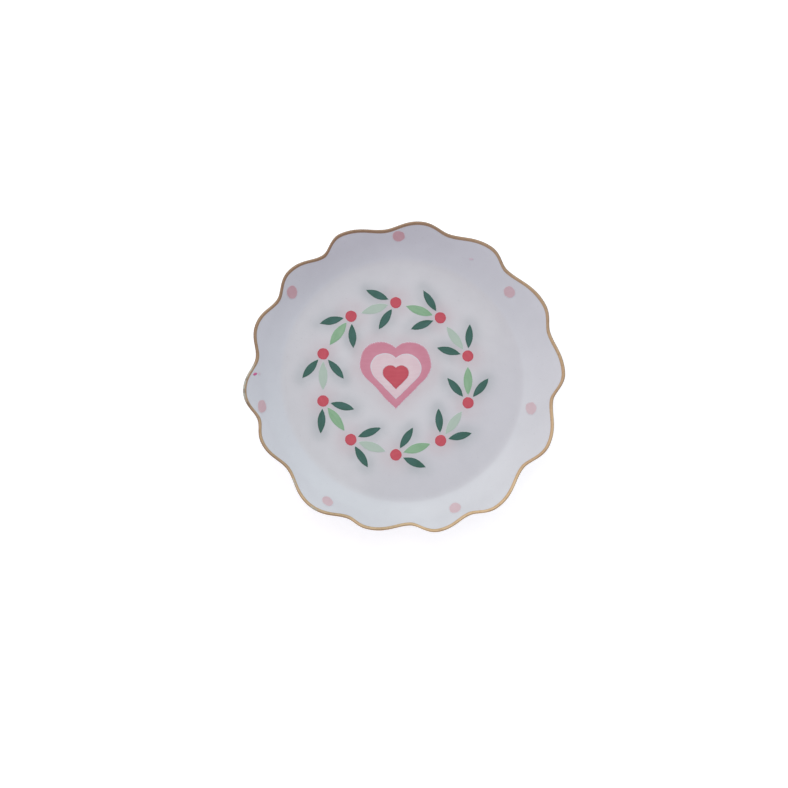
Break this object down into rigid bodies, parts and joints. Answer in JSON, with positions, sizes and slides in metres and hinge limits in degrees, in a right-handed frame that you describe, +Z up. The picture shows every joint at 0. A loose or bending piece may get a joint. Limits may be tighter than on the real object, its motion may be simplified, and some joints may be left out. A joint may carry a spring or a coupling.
{
  "type": "enamel tray",
  "caption": "Small round enamelled steel tray with a flared, scalloped wall, a gilt edge line, pale dots on the wall and a printed leaf wreath round a heart on the flat floor.",
  "frame": {"origin": "centre of the flat underside, on the surface the tray stands on", "axes": "+Z up out of the tray; +X to the right and +Y to the back as the print is seen, the heart's tip pointing to -Y"},
  "size_m": [0.1544, 0.1493, 0.0169],
  "materials": {
    "steel": "pressed low-carbon sheet, hidden under the enamel",
    "back_enamel": "smooth glossy white enamel",
    "face_enamel": "smooth glossy white enamel with a faint lilac-grey cast",
    "gilt": "satin gold line, brushed on, slightly worn",
    "pale_pink_print": "printed enamel colour, satin",
    "pink_print": "printed enamel colour, satin, brushy",
    "red_print": "printed enamel colour, satin, brushy",
    "dark_green_print": "printed enamel colour, satin, brushy",
    "light_green_print": "printed enamel colour, satin, brushy"
  },
  "bodies": {
    "root": {"steel_blank": "steel", "enamel_back": "back_enamel", "enamel_face": "face_enamel", "gilt_edging": "gilt", "rim_dot_1": "pale_pink_print", "rim_dot_2": "pale_pink_print", "rim_dot_3": "pale_pink_print", "rim_dot_4": "pale_pink_print", "rim_dot_5": "pale_pink_print", "rim_dot_6": "pale_pink_print", "rim_dot_7": "pale_pink_print", "sprig_1_berry": "red_print", "sprig_1_leaf_outer": "dark_green_print", "sprig_1_leaf_middle": "light_green_print", "sprig_1_leaf_inner": "dark_green_print", "sprig_2_berry": "red_print", "sprig_2_leaf_outer": "dark_green_print", "sprig_2_leaf_middle": "light_green_print", "sprig_2_leaf_inner": "dark_green_print", "sprig_3_berry": "red_print", "sprig_3_leaf_outer": "dark_green_print", "sprig_3_leaf_middle": "light_green_print", "sprig_3_leaf_inner": "dark_green_print", "sprig_4_berry": "red_print", "sprig_4_leaf_outer": "dark_green_print", "sprig_4_leaf_middle": "light_green_print", "sprig_4_leaf_inner": "dark_green_print", "sprig_5_berry": "red_print", "sprig_5_leaf_outer": "dark_green_print", "sprig_5_leaf_middle": "light_green_print", "sprig_5_leaf_inner": "dark_green_print", "sprig_6_berry": "red_print", "sprig_6_leaf_outer": "dark_green_print", "sprig_6_leaf_middle": "light_green_print", "sprig_6_leaf_inner": "dark_green_print", "sprig_7_berry": "red_print", "sprig_7_leaf_outer": "dark_green_print", "sprig_7_leaf_middle": "light_green_print", "sprig_7_leaf_inner": "dark_green_print", "sprig_8_berry": "red_print", "sprig_8_leaf_outer": "dark_green_print", "sprig_8_leaf_middle": "light_green_print", "sprig_8_leaf_inner": "dark_green_print", "sprig_9_berry": "red_print", "sprig_9_leaf_outer": "dark_green_print", "sprig_9_leaf_middle": "light_green_print", "sprig_9_leaf_inner": "dark_green_print", "sprig_10_berry": "red_print", "sprig_10_leaf_outer": "dark_green_print", "sprig_10_leaf_middle": "light_green_print", "sprig_10_leaf_inner": "dark_green_print", "heart_outer": "pink_print", "heart_middle": "pale_pink_print", "heart_inner": "red_print"}
  },
  "joints": []
}
